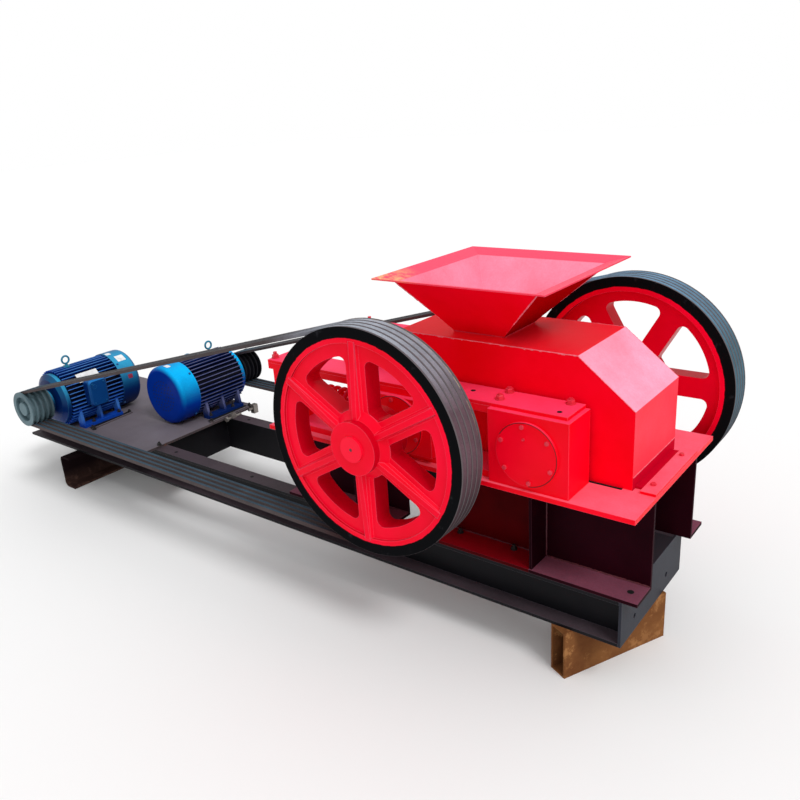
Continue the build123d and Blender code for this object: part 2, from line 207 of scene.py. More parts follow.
# Uneven colour and fine skin of brushed or cast paint
def skin_group():
    group, source, sink = make_group(
        "Paint skin", ("Base", "Deep"), {"Streak Scale": 5.0, "Pore Scale": 260.0}, "Height",
    )
    where = object_place(group)
    streaks = noise(group, source["Streak Scale"], 5.0, 0.55, where)
    patch = remap(group, streaks, 0.35, 0.7)
    pores = noise(group, source["Pore Scale"], 3.0, 0.6, where)
    waves = noise(group, 22.0, 2.0, 0.5, where)
    height = calc(group, "ADD", times(group, pores, 0.35), times(group, waves, 0.65))
    colour = blend_colour(group, patch, source["Base"], source["Deep"])
    group.links.new(colour, sink["Color"])
    group.links.new(height, sink["Height"])
    return group


# Rust blooms and dirt runs that cover a share of the surface
def rust_group():
    group, source, sink = make_group(
        "Rust and dirt", ("Under", "Rust"), {"Share": 0.3, "Spot Scale": 14.0}, "Mask",
    )
    spots = noise(group, source["Spot Scale"], 8.0, 0.7, object_place(group))
    edge = calc(group, "SUBTRACT", 1.0, source["Share"])
    over = calc(group, "SUBTRACT", spots, calc(group, "ADD", times(group, edge, 0.4), 0.28))
    mask = remap(group, over, 0.0, 0.07)
    colour = blend_colour(group, mask, source["Under"], source["Rust"])
    group.links.new(colour, sink["Color"])
    group.links.new(mask, sink["Mask"])
    return group


DUST_AND_SHEEN = dust_and_sheen_group()
SKIN = skin_group()
RUST = rust_group()


def use_group(tree, group, **values):
    node = add(tree, "ShaderNodeGroup", node_tree=group)
    for label, value in values.items():
        feed(tree, node.inputs[label.replace("_", " ")], value)
    return node.outputs


# Brushed paint, and metal as cast or drawn
def paint_skin(tree, base, deep):
    return use_group(tree, SKIN, Base=base, Deep=deep, Streak_Scale=4.0, Pore_Scale=300.0)


def metal_skin(tree, base, deep):
    return use_group(tree, SKIN, Base=base, Deep=deep, Streak_Scale=12.0, Pore_Scale=420.0)


def dust_and_sheen_over(tree, paint, dust_and_sheen, amount, way=(0, 0, 1), sharp=1.0):
    return use_group(
        tree, DUST_AND_SHEEN, Paint=paint, Dust=dust_and_sheen, Amount=amount, Patch_Scale=5.0, Facing=way, Sharpness=sharp,
    )


def rusted(tree, under, rust, share, spot_scale):
    return use_group(tree, RUST, Under=under, Rust=rust, Share=share, Spot_Scale=spot_scale)


def new_material(name, roughness, metallic=0.0, coat=0.0, specular=0.5):
    material = bpy.data.materials.new(name)
    material.use_nodes = True
    tree = material.node_tree
    shader = tree.nodes["Principled BSDF"]
    shader.inputs["Roughness"].default_value = roughness
    shader.inputs["Metallic"].default_value = metallic
    shader.inputs["Coat Weight"].default_value = coat
    shader.inputs["Coat Roughness"].default_value = 0.15
    shader.inputs["Specular IOR Level"].default_value = specular
    return material, tree, shader


# Shader input that goes from one value to another as a mask turns on
def vary(tree, shader, label, mask, off, on):
    tree.links.new(remap(tree, mask, 0.0, 1.0, off, on), shader.inputs[label])


# Colour, and bump over softened edges, so corners catch the light as real ones do
def surface(tree, shader, colour, height, depth, edge=0.0015):
    tree.links.new(colour, shader.inputs["Base Color"])
    soft = add(tree, "ShaderNodeBevel", samples=4)
    soft.inputs["Radius"].default_value = edge
    bump = add(tree, "ShaderNodeBump")
    bump.inputs["Distance"].default_value = depth
    bump.inputs["Strength"].default_value = 1.0
    tree.links.new(height, bump.inputs["Height"])
    tree.links.new(soft.outputs["Normal"], bump.inputs["Normal"])
    tree.links.new(bump.outputs["Normal"], shader.inputs["Normal"])


# Lighter colour along the edges: painted highlight where they catch the light, and paint rubbed off there
def rubbed_edges(tree, colour, radius, amount, under):
    soft = add(tree, "ShaderNodeBevel", samples=4)
    soft.inputs["Radius"].default_value = radius
    edge = remap(tree, facing(tree, soft.outputs["Normal"]), 0.99, 0.86)
    return blend_colour(tree, times(tree, edge, amount), colour, under)


# Mask that turns on along one axis of the frame
def side_mask(tree, axis, low, high):
    return remap(tree, coordinate(tree, axis), low, high)


# Paint with dust and painted sheen on one side, painted edge highlight and rubbed paint, rust and painted
# sill shade where asked
def painted(name, base, deep, dust_and_sheen, amount, roughness, **more):
    coat, specular = more.get("coat", 0.0), more.get("specular", 0.1)
    material, tree, shader = new_material(name, roughness, coat=coat, specular=specular)
    skin = paint_skin(tree, base, deep)
    colour = skin["Color"]
    if more.get("rust"):
        colour = rusted(tree, colour, (0.16, 0.06, 0.03), more["rust"], 9.0)["Color"]
    dust_and_sheen_layer = dust_and_sheen_over(tree, colour, dust_and_sheen, amount, more.get("facing", (0, 0, 1)), more.get("sharp", 1.0))
    colour = dust_and_sheen_layer["Color"]
    if more.get("rubbed"):
        colour = rubbed_edges(tree, colour, LIT_AND_RUBBED_EDGE, 0.55, more["rubbed"])
    # Painted shade: deep crimson on the hood's foot below its sill, at the crusher end
    if more.get("sill"):
        x, z = more["sill"]
        below, beyond = side_mask(tree, "Z", z + 0.0005, z), side_mask(tree, "X", x - 0.001, x)
        colour = blend_colour(tree, times(tree, below, beyond), colour, (0.55, 0.001, 0.020))
    vary(tree, shader, "Roughness", dust_and_sheen_layer["Mask"], roughness, 0.6)
    surface(tree, shader, colour, skin["Height"], PAINT_DEPTH)
    return material


# Dirt gathered round one point
def stained(tree, colour, spot, reach, dirt):
    where = object_place(tree)
    spread = add(tree, "ShaderNodeVectorMath", operation="DISTANCE")
    tree.links.new(where, spread.inputs[0])
    spread.inputs[1].default_value = spot
    near = remap(tree, spread.outputs["Value"], reach, reach * 0.2)
    broken = remap(tree, noise(tree, 45.0, 6.0, 0.7, where), 0.4, 0.6)
    return blend_colour(tree, times(tree, near, broken), colour, dirt)


# Distance from a shaft's axis
def radial(tree, axis):
    spread = add(tree, "ShaderNodeVectorMath", operation="SUBTRACT")
    tree.links.new(object_place(tree), spread.inputs[0])
    spread.inputs[1].default_value = axis
    flat = add(tree, "ShaderNodeVectorMath", operation="MULTIPLY")
    tree.links.new(spread.outputs[0], flat.inputs[0])
    flat.inputs[1].default_value = (1, 0, 1)
    length = add(tree, "ShaderNodeVectorMath", operation="LENGTH")
    tree.links.new(flat.outputs[0], length.inputs[0])
    return length.outputs["Value"]


RED, DEEP_RED = (0.97, 0.0008, 0.018), (0.84, 0.0003, 0.006)
WHEEL_RED = (0.95, 0.0012, 0.030)
BROWN = (0.15, 0.065, 0.03)
DIRT = (0.90, 0.50, 0.22)


# Red with a painted sheen on the sides that face up and to the crusher end
def red_enamel(name, painted_sheen, amount, **more):
    return painted(name, RED, DEEP_RED, painted_sheen, amount, 0.35, **more)


# Hopper: pale inside with painted sheen, lip redder with less sheen and dirt on one corner, painted shade
# under the end that leans out
HOPPER_CORNER = (0.712, -0.245, 1.080)
HOPPER_NECK = 1.067


def hopper_enamel():
    material, tree, shader = new_material("hopper_enamel", 0.35)
    skin = paint_skin(tree, RED, DEEP_RED)
    # Painted sheen on the inside faces that look up
    inner = dust_and_sheen_over(tree, skin["Color"], (1.0, 0.40, 0.57), 1.0, (0, 0, 1.6))
    lip = stained(tree, (0.93, 0.075, 0.145), HOPPER_CORNER, 0.16, DIRT)
    on_lip = side_mask(tree, "Z", HOPPER_NECK, HOPPER_NECK + 0.003)
    upper = blend_colour(tree, on_lip, inner["Color"], lip)
    # Painted shade under the end that leans out
    under = remap(tree, facing(tree, (0.69, 0, -0.72)), 0.55, 0.95)
    outer = blend_colour(tree, under, skin["Color"], (0.36, 0.0003, 0.002))
    colour = blend_colour(tree, remap(tree, facing(tree, (0, 0, 1)), -0.05, 0.05), outer, upper)
    colour = rubbed_edges(tree, colour, LIT_AND_RUBBED_EDGE, 0.45, (1.0, 0.26, 0.38))
    vary(tree, shader, "Specular IOR Level", under, 0.02, 0.0)
    surface(tree, shader, colour, skin["Height"], PAINT_DEPTH)
    return material


# Stand paint, dark maroon, mauve on its tops from dust and painted sheen, with one bay red and lighter on
# its tops
def stand_enamel(name, bay=False):
    material, tree, shader = new_material(name, 0.5, specular=0.02)
    skin = paint_skin(tree, (0.020, 0.0016, 0.005), (0.008, 0.0006, 0.0022))
    colour = dust_and_sheen_over(tree, skin["Color"], (0.27, 0.085, 0.135), 0.95)["Color"]
    if bay:
        red = paint_skin(tree, (0.075, 0.0004, 0.0016), (0.032, 0.0003, 0.001))
        # Painted light: lighter red on the bay's tops
        lit = dust_and_sheen_over(tree, red["Color"], (0.32, 0.004, 0.012), 0.95)
        past_rib = side_mask(tree, "X", RIGHT_RIB - 0.002, RIGHT_RIB)
        colour = blend_colour(tree, past_rib, lit["Color"], colour)
    colour = rubbed_edges(tree, colour, 0.0015, 0.25, (0.30, 0.12, 0.16))
    surface(tree, shader, colour, skin["Height"], PAINT_DEPTH)
    return material


# Way that the motors' painted gleam faces
GLEAM = (0.62, -0.22, 0.80)


# Motor 1 and both terminal boxes, duller than motor 2, with a painted gleam on the sides facing GLEAM
def teal_enamel(name, gleam):
    base, deep = (0.001, 0.020, 0.13), (0.0006, 0.010, 0.070)
    return painted(
        name, base, deep, gleam, 0.9, 0.3,
        coat=0.03, specular=0.08, facing=GLEAM, sharp=1.8, rubbed=(0.05, 0.30, 0.46),
    )


# Finned frame: painted shade between the fins, their edges lighter from dust and painted highlight
def fin_enamel(name, axis, base, tip):
    material, tree, shader = new_material(name, 0.4, specular=0.08)
    skin = paint_skin(tree, base, tuple(c * 0.55 for c in base))
    reach = radial(tree, axis)
    # Painted shade in the gaps between the fins
    gap = remap(tree, reach, 0.1205, 0.110)
    ridge = remap(tree, reach, 0.1212, 0.1232)
    low = side_mask(tree, "Z", axis.z - 0.080, axis.z - 0.115)
    patchy = remap(tree, noise(tree, 12.0, 4.0, 0.6, object_place(tree)), 0.35, 0.65, 0.45, 1.0)
    body = calc(tree, "SUBTRACT", 1.0, low)
    colour = blend_colour(tree, times(tree, gap, body), skin["Color"], (0.001, 0.002, 0.014))
    colour = blend_colour(tree, times(tree, ridge, patchy, body), colour, tip)
    surface(tree, shader, colour, skin["Height"], 0.0004, 0.0008)
    return material


# Wheel: red web, painted shade on its window walls, painted edge highlight, black ring on the rim's face,
# dull tread
def wheel_enamel(name, axis):
    material, tree, shader = new_material(name, 0.3)
    skin = paint_skin(tree, WHEEL_RED, (0.80, 0.0006, 0.014))
    length = radial(tree, axis)
    wobble = remap(tree, noise(tree, 40.0, 3.0, 0.6, object_place(tree)), 0.3, 0.7, -0.0012, 0.0012)
    reach = calc(tree, "ADD", length, wobble)
    # Painted shade on faces turned across the wheel, the walls of windows and spokes
    wall_shade = remap(tree, calc(tree, "ABSOLUTE", facing(tree, (0, 1, 0))), 0.35, 0.15, 0.0, 0.6)
    red = blend_colour(tree, wall_shade, skin["Color"], (0.42, 0.0003, 0.008))
    # Painted highlight along the edges
    red = rubbed_edges(tree, red, 0.003, 0.4, (1.0, 0.16, 0.27))
    ring = remap(tree, reach, WHEEL_RADIUS * 0.905, WHEEL_RADIUS * 0.908)
    tread = remap(tree, length, WHEEL_RADIUS * 0.9985, WHEEL_RADIUS * 0.9992)
    ring_paint = rusted(tree, (0.004, 0.0042, 0.005), (0.015, 0.015, 0.018), 0.2, 30.0)
    colour = blend_colour(tree, ring, red, ring_paint["Color"])
    colour = blend_colour(tree, tread, colour, (0.12, 0.105, 0.112))
    vary(tree, shader, "Roughness", ring, 0.3, 0.75)
    vary(tree, shader, "Specular IOR Level", ring, 0.05, 0.015)
    vary(tree, shader, "Coat Weight", ring, 0.02, 0.0)
    surface(tree, shader, colour, skin["Height"], PAINT_DEPTH, 0.002)
    return material


# Belts: painted highlight and dust on top of the wheel, browner painted shade lower down, bluish on the
# lower run
def belt_rubber(name, axis, crown, flank, foot, worn_edge=False):
    material, tree, shader = new_material(name, 0.8, specular=0.1)
    where = object_place(tree)
    side = remap(tree, facing(tree, (0, 1, 0)), -0.4, -0.7)
    high_run = side_mask(tree, "Z", 0.52, 0.56)
    run = blend_colour(tree, high_run, (0.040, 0.080, 0.115), (0.078, 0.077, 0.084))
    run = blend_colour(tree, side, run, (0.085, 0.066, 0.066))
    # Painted highlight on top of the wheel, painted shade lower down
    round_low = blend_colour(tree, side_mask(tree, "Z", axis.z - 0.26, axis.z + 0.02), foot, flank)
    round_top = blend_colour(tree, side_mask(tree, "Z", axis.z + 0.14, axis.z + 0.32), round_low, crown)
    colour = blend_colour(tree, side_mask(tree, "X", axis.x - 0.34, axis.x - 0.10), run, round_top)
    worn = remap(tree, noise(tree, 9.0, 6.0, 0.65, where), 0.35, 0.7, 0.0, 0.45)
    colour = blend_colour(tree, worn, colour, (0.030, 0.030, 0.034))
    if worn_edge:
        outer_edge = side_mask(tree, "Y", -0.3640, -0.3605)
        broken = remap(tree, noise(tree, 26.0, 5.0, 0.7, where), 0.45, 0.55, 0.0, 0.7)
        streak = times(tree, outer_edge, side_mask(tree, "Z", 0.72, 0.86), broken)
        colour = blend_colour(tree, streak, colour, (0.42, 0.34, 0.24))
    grain = remap(tree, noise(tree, 220.0, 3.0, 0.6, where), 0.3, 0.7, 0.85, 1.1)
    colour = blend_colour(tree, 1.0, colour, grain, "MULTIPLY")
    surface(tree, shader, colour, noise(tree, 260.0, 3.0, 0.6, where), 0.0004, 0.0006)
    return material


def bare_metal(name, base, deep, metallic, roughness, rust_share):
    material, tree, shader = new_material(name, roughness, metallic=metallic, specular=0.15)
    skin = metal_skin(tree, base, deep)
    rusty = rusted(tree, skin["Color"], BROWN, rust_share, 20.0)
    vary(tree, shader, "Roughness", rusty["Mask"], roughness, 0.85)
    surface(tree, shader, rusty["Color"], skin["Height"], METAL_DEPTH, 0.0012)
    return material


# Roll casting with its shaft ends painted red with the wheels
def roll_casting():
    material, tree, shader = new_material("roll_casting", 0.5, specular=0.15)
    skin = metal_skin(tree, (0.16, 0.15, 0.145), (0.09, 0.08, 0.075))
    rusty = rusted(tree, skin["Color"], BROWN, 0.4, 20.0)
    outside = remap(tree, calc(tree, "ABSOLUTE", coordinate(tree, "Y")), 0.30, 0.302)
    colour = blend_colour(tree, outside, rusty["Color"], WHEEL_RED)
    surface(tree, shader, colour, skin["Height"], METAL_DEPTH)
    return material


# Rolled section under the base, rusty, with a painted shadow of the base over its upper part where asked
def rusty_section(name, light, dark, patch, shade=None):
    material, tree, shader = new_material(name, 0.85, specular=0.03)
    skin = use_group(tree, SKIN, Base=light, Deep=dark, Streak_Scale=7.0, Pore_Scale=150.0)
    scaled = rusted(tree, skin["Color"], patch, 0.35, 16.0)
    stain = remap(tree, noise(tree, 3.0, 4.0, 0.6, object_place(tree)), 0.45, 0.7)
    colour = blend_colour(tree, stain, scaled["Color"], dark)
    # Painted shadow of the base over the upper part
    if shade:
        colour = blend_colour(tree, side_mask(tree, "Z", 0.012, 0.075), colour, shade)
    surface(tree, shader, colour, skin["Height"], 0.0018, 0.003)
    return material


def plain(name, colour, roughness, metallic=0.0):
    material, tree, shader = new_material(name, roughness, metallic=metallic, specular=0.3)
    shade = remap(tree, noise(tree, 60.0, 4.0, 0.6, object_place(tree)), 0.3, 0.7)
    darker = tuple(c * 0.7 for c in colour)
    tree.links.new(blend_colour(tree, shade, darker, colour), shader.inputs["Base Color"])
    return material


# Way the hood's painted highlight faces, pink of the painted edge highlight on red, and the hood's sill with
# painted shade below it
SUNNY = (0.76, 0.0, 0.65)
EDGE_HIGHLIGHT = (1.0, 0.15, 0.24)
HOOD_SILL = (1.423, 0.603)
FINISH = {
    "red": red_enamel("red_enamel", (1.0, 0.075, 0.21), 0.8, rubbed=EDGE_HIGHLIGHT, specular=0.06),
    "hood": red_enamel(
        "hood_enamel", (1.0, 0.51, 0.71), 1.0,
        facing=SUNNY, sharp=4.6, rubbed=EDGE_HIGHLIGHT, sill=HOOD_SILL, specular=0.015,
    ),
    "hopper": hopper_enamel(),
    "table": red_enamel("table_enamel", (1.0, 0.18, 0.28), 0.95, rubbed=EDGE_HIGHLIGHT, specular=0.06),
    "stand": stand_enamel("stand_maroon"),
    "bay": stand_enamel("stand_red_bay", bay=True),
    "base": painted(
        "base_black", (0.0065, 0.006, 0.008), (0.003, 0.003, 0.004), (0.080, 0.058, 0.070), 0.95, 0.45,
        rust=0.04, rubbed=(0.10, 0.09, 0.11),
    ),
    # End channel: its tops kept as dark as its sides, a painted shade
    "end": painted(
        "end_channel_grey", (0.024, 0.026, 0.036), (0.012, 0.013, 0.019), (0.030, 0.022, 0.026), 0.9, 0.5,
        rust=0.05, rubbed=(0.10, 0.10, 0.13),
    ),
    "plate": painted(
        "plate_dust", (0.085, 0.068, 0.074), (0.045, 0.036, 0.040), (0.180, 0.160, 0.190), 0.85, 0.6,
        rust=0.16, rubbed=(0.22, 0.17, 0.16),
    ),
    # Motor 2 blue, with a painted azure highlight on the sides facing GLEAM
    "blue": painted(
        "motor_blue", (0.0008, 0.028, 0.28), (0.0005, 0.015, 0.18), (0.002, 0.52, 1.0), 1.0, 0.2,
        coat=0.03, specular=0.03, facing=GLEAM, sharp=1.5, rubbed=(0.03, 0.30, 0.58),
    ),
    "teal": teal_enamel("motor_teal", (0.036, 0.40, 0.68)),
    "box1": teal_enamel("motor1_box_blue", (0.014, 0.21, 0.60)),
    "box2": teal_enamel("motor2_box_blue", (0.004, 0.20, 0.60)),
    "fins1": fin_enamel("motor1_fins_blue", MOTOR_AXIS[1], (0.005, 0.055, 0.40), (0.065, 0.22, 0.55)),
    "fins2": fin_enamel("motor2_fins_blue", MOTOR_AXIS[2], (0.003, 0.022, 0.15), (0.115, 0.125, 0.24)),
    "near_wheel": wheel_enamel("near_wheel_enamel", NEAR_AXIS),
    "far_wheel": wheel_enamel("far_wheel_enamel", FAR_AXIS),
    "near_belt": belt_rubber(
        "near_belt_rubber", NEAR_AXIS,
        (0.37, 0.40, 0.46), (0.13, 0.080, 0.098), (0.036, 0.012, 0.013), worn_edge=True,
    ),
    "far_belt": belt_rubber(
        "far_belt_rubber", FAR_AXIS, (0.165, 0.30, 0.44), (0.060, 0.135, 0.18), (0.030, 0.040, 0.050),
    ),
    "cast": bare_metal("motor_pulley_casting", (0.12, 0.185, 0.21), (0.070, 0.115, 0.135), 0.1, 0.5, 0.08),
    "dark_cast": bare_metal(
        "dark_pulley_casting", (0.006, 0.006, 0.010), (0.003, 0.003, 0.005), 0.0, 0.7, 0.02,
    ),
    "roll": roll_casting(),
    "rusty": rusty_section("rusty_section", (0.25, 0.105, 0.036), (0.12, 0.042, 0.016), (0.33, 0.15, 0.055)),
    "brown": rusty_section(
        "rusty_channel", (0.075, 0.038, 0.030), (0.030, 0.016, 0.014), (0.12, 0.065, 0.05),
        shade=(0.010, 0.005, 0.006),
    ),
    "bolt_red": plain("bolt_red", (0.80, 0.03, 0.06), 0.35),
    "bolt_dark": plain("bolt_dark", (0.020, 0.018, 0.018), 0.5),
    "bolt_blue": plain("bolt_blue", (0.010, 0.10, 0.30), 0.4),
    "label": plain("label_white", (0.86, 0.87, 0.88), 0.4),
    "eye": plain("eyebolt_blue", (0.02, 0.22, 0.36), 0.35),
    # Dark red for the covers' grooves: painted shade
    "groove": plain("groove_dark_red", (0.16, 0.002, 0.006), 0.6),
    "sticker_red": plain("sticker_red", (0.32, 0.02, 0.06), 0.5),
    # Black that stands in for holes and slots: painted shade
    "black": plain("slot_black", (0.003, 0.003, 0.003), 0.8),
    "chip": plain("paint_chip", (0.90, 0.28, 0.33), 0.7),
    # Weld beads paler pink than the paint: painted highlight
    "seam": plain("weld_seam_red", (0.95, 0.20, 0.27), 0.4),
    "bay_seam": plain("weld_seam_dark", (0.12, 0.03, 0.04), 0.5),
    "thread": plain("thread_steel", (0.30, 0.27, 0.25), 0.4, 0.6),
}

# Finish of each node, by its whole name or else by a part of it; the rest are red
BY_NAME = {
    "near_belts": "near_belt", "far_belts": "far_belt",
    "near_pulley": "near_wheel", "far_pulley": "far_wheel",
    "motor1_pulley": "cast", "motor2_pulley": "dark_cast",
    "motor1_frame": "fins1", "motor2_frame": "fins2",
    "near_right_leg": "bay", "motor_plate": "plate", "end_channel": "end",
    "left_support": "brown", "right_support": "rusty",
    "hopper": "hopper", "hood": "hood", "table_plate": "table",
}
BY_PART = {"motor1_": "teal", "motor2_": "blue", "_roll": "roll", "_leg": "stand", "_channel": "base"}


def finish_of(node):
    if node in BY_NAME:
        return BY_NAME[node]
    return next((finish for part, finish in BY_PART.items() if part in node), "red")


for name, part in frame["nodes"].items():
    for slot in part.material_slots:
        slot.material = FINISH[finish_of(name)]


# Direction at an angle round a shaft
def round_shaft(angle):
    return Vector((math.cos(angle), 0, math.sin(angle)))


# Turn that brings Z onto an axis
def aimed(axis):
    return Vector(axis).to_track_quat("Z", "Y").to_matrix()


# Points at even steps on a circle round a shaft, the first at a given angle in degrees
def circle(axis, y, radius, count, first=0.0):
    middle = Vector((axis.x, y, axis.z))
    return [middle + radius * round_shaft(math.radians(first + 360 * k / count)) for k in range(count)]


# Small pieces are gathered in a mesh, given a finish and set on their body, which empties the tray
class Tray:
    def __init__(self):
        self.mesh = bmesh.new()

    def prism(self, place, axis, sides, radius, depth, top=None, spin=0.0):
        turn = aimed(axis).to_4x4()
        centre = Vector(place) + Vector(axis).normalized() * depth / 2
        bmesh.ops.create_cone(
            self.mesh, cap_ends=True, segments=sides, radius1=radius, radius2=radius if top is None else top,
            depth=depth, matrix=Matrix.Translation(centre) @ turn @ Matrix.Rotation(spin, 4, "Z"),
        )

    def block(self, centre, size, turn=None):
        matrix = Matrix.Translation(Vector(centre))
        if turn is not None:
            matrix = matrix @ turn.to_4x4()
        bmesh.ops.create_cube(self.mesh, size=1, matrix=matrix @ Matrix.Diagonal((*size, 1)))

    # One ring of a wire's skin
    def ring(self, core, out, up, wire, sides):
        angles = [2 * math.pi * k / sides for k in range(sides)]
        return [self.mesh.verts.new(core + wire * (out * math.cos(b) + up * math.sin(b))) for b in angles]

    def join(self, rings):
        for here, there in zip(rings, rings[1:]):
            for k in range(len(here)):
                after = (k + 1) % len(here)
                self.mesh.faces.new((here[k], there[k], there[after], here[after]))

    # Wire bent in a circle, or in a part of one where an arc is given
    def hoop(self, centre, axis, radius, wire, steps=28, sides=10, arc=None):
        turn = aimed(axis)
        begin, sweep = arc or (0.0, 2 * math.pi)
        rings = []
        for i in range(steps):
            a = begin + sweep * i / steps
            out = turn @ Vector((math.cos(a), math.sin(a), 0))
            rings.append(self.ring(Vector(centre) + out * radius, out, turn @ Z, wire, sides))
        self.join(rings if arc else rings + rings[:1])

    # Wound wire, closed at both ends
    def coil(self, start, end, radius, wire, turns, steps=24, sides=10):
        start = Vector(start)
        run = Vector(end) - start
        turn = aimed(run)
        rings = []
        for i in range(turns * steps + 1):
            a = 2 * math.pi * i / steps
            out = turn @ Vector((math.cos(a), math.sin(a), 0))
            core = start + run * (i / (turns * steps)) + out * radius
            rings.append(self.ring(core, out, run.normalized(), wire, sides))
        self.join(rings)
        self.mesh.faces.new(rings[0])
        self.mesh.faces.new(list(reversed(rings[-1])))

    # Flat outline given depth, narrower at its far side where a second outline is given
    def slab(self, outline, depth, top=None):
        base = [self.mesh.verts.new(Vector(p)) for p in outline]
        cap = [self.mesh.verts.new(Vector(p) + Vector(depth)) for p in top or outline]
        self.mesh.faces.new(list(reversed(base)))
        self.mesh.faces.new(cap)
        for i in range(len(base)):
            k = (i + 1) % len(base)
            self.mesh.faces.new((base[i], base[k], cap[k], cap[i]))

    def rod(self, start, end, radius, sides):
        run = Vector(end) - Vector(start)
        self.prism(start, run, sides, radius, run.length)

    # Weld bead: a run of short overlapping lumps
    def bead(self, start, end, radius, sides=6):
        start, end = Vector(start), Vector(end)
        run = end - start
        count = max(2, int(run.length / (radius * 3.2)))
        side = run.orthogonal().normalized()
        for i in range(count):
            a = start + run * (i / count)
            b = start + run * ((i + 1) / count)
            wander = side * radius * 0.25 * GRAIN.uniform(-1, 1)
            size = radius * GRAIN.uniform(0.85, 1.15)
            self.prism(a + wander, b - a, sides, size, (b - a).length * 1.15, top=size * 0.82)

    # Hexagon bolt on a washer, with a domed crown and a thread end where asked
    def bolt(self, place, axis, size, washer=True, thread=0.0):
        axis = Vector(axis).normalized()
        place = Vector(place)
        if washer:
            self.prism(place, axis, 20, size * 1.05, size * 0.2)
            place = place + axis * size * 0.2
        angle = GRAIN.uniform(0, 1)
        self.prism(place, axis, 6, size * 0.87, size * 0.7, spin=angle)
        crown = place + axis * size * 0.7
        self.prism(crown, axis, 6, size * 0.87, size * 0.1, top=size * 0.76, spin=angle)
        if thread:
            self.prism(place + axis * size * 0.8, axis, 12, size * 0.5, thread)

    def grease_nipple(self, place, axis, size):
        axis = Vector(axis).normalized()
        place = Vector(place)
        self.prism(place, axis, 6, size, size * 0.7)
        self.prism(place + axis * size * 0.7, axis, 12, size * 0.45, size * 0.6)
        self.prism(place + axis * size * 1.3, axis, 12, size * 0.7, size * 0.7, top=size * 0.4)

    def place_on(self, name, finish, body="frame"):
        data = bpy.data.meshes.new(name)
        bmesh.ops.recalc_face_normals(self.mesh, faces=self.mesh.faces)
        self.mesh.to_mesh(data)
        self.mesh.free()
        self.mesh = bmesh.new()
        data.polygons.foreach_set("use_smooth", [True] * len(data.polygons))
        data.set_sharp_from_angle(angle=math.radians(38))
        data.materials.append(FINISH[finish])
        piece = bpy.data.objects.new(name, data)
        bpy.context.scene.collection.objects.link(piece)
        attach(piece, body)
        return piece


# Bearings: bolts on the top plates, covers with their ring of bolts and nipples
def dress_bearings():
    cover_bolts, groove = 0.077, 0.0875
    for word, side in SIDES:
        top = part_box(word + "_top_plate")[1].z
        tray = Tray()
        spots = [(1.086, 0.231), (1.082, 0.174), (1.262, 0.176), (0.310, 0.226), (0.310, 0.176)]
        for x, y in spots:
            tray.bolt((x, side * y, top), Z, 0.0125, thread=0.003)
        tray.bolt((0.255, side * 0.240, top), Z, 0.0125, thread=0.008)
        tray.place_on(word + "_top_plate_bolts", "bolt_red")
        # Holes in the top plates: black discs as painted shade
        for x, y in ((1.263, 0.240), (0.988, 0.207), (0.750, 0.176)):
            tray.prism((x, side * y, top - 0.0008), Z, 20, 0.0068, 0.0012)
        tray.place_on(word + "_top_plate_holes", "black")
        for kind, axis in (("fixed", FAR_AXIS), ("sliding", NEAR_AXIS)):
            low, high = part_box(f"{word}_{kind}_cover")
            face = low.y if side < 0 else high.y
            for spot in circle(axis, face, cover_bolts, 6, 37):
                tray.bolt(spot, Y * side, 0.0076, washer=False)
            through = (kind == "sliding") == (side < 0)
            if not through:
                tray.grease_nipple((axis.x - 0.005, face, axis.z + 0.043), Y * side, 0.0042)
            tray.place_on(f"{word}_{kind}_cover_bolts", "bolt_red")
            # Groove on the cover: a thin dark red hoop as painted shade
            shown = (math.radians(-85), math.radians(238)) if kind == "fixed" else None
            tray.hoop((axis.x, face, axis.z), -Y, groove, 0.0011, steps=72, sides=6, arc=shown)
            tray.place_on(f"{word}_{kind}_cover_groove", "groove")


# Hood: weld seams, bolts on the table's strips and chipped paint
def dress_hood():
    left, right = ROLL_X - 0.230, ROLL_X + 0.648
    top, shoulder = ROLL_Z + 0.236, ROLL_Z + 0.112
    top_left, top_right = ROLL_X - 0.080, ROLL_X + 0.492
    cheek, sunk = 0.1495, 0.0005
    tray = Tray()
    for side in (-1, 1):
        y = side * cheek
        runs = (
            ((top_left, top), (top_right, top)), ((top_right, top), (right, shoulder)),
            ((left, shoulder), (top_left, top)),
        )
        for a, b in runs:
            tray.bead((a[0], y, a[1] - sunk), (b[0], y, b[1] - sunk), 0.0013)
    for x in (right - sunk, left + sunk):
        tray.bead((x, -0.147, 0.6035), (x, 0.147, 0.6035), 0.0018)
    tray.place_on("hood_weld_seams", "seam")
    for x, y in ((1.461, -0.108), (1.461, 0.101), (0.503, -0.108), (0.503, 0.101)):
        tray.bolt((x, y, 0.576), Z, 0.0085, washer=False)
    tray.place_on("strip_bolts", "bolt_red")
    chips = 26
    for i in range(chips):
        x = top_left + (top_right - top_left) * (i + GRAIN.uniform(0.1, 0.9)) / chips
        chip = (GRAIN.uniform(0.003, 0.012), 0.001, GRAIN.uniform(0.0008, 0.002))
        tray.block((x, -0.1502, top - GRAIN.uniform(0.0005, 0.003)), chip)
    tray.place_on("hood_edge_chips", "chip")


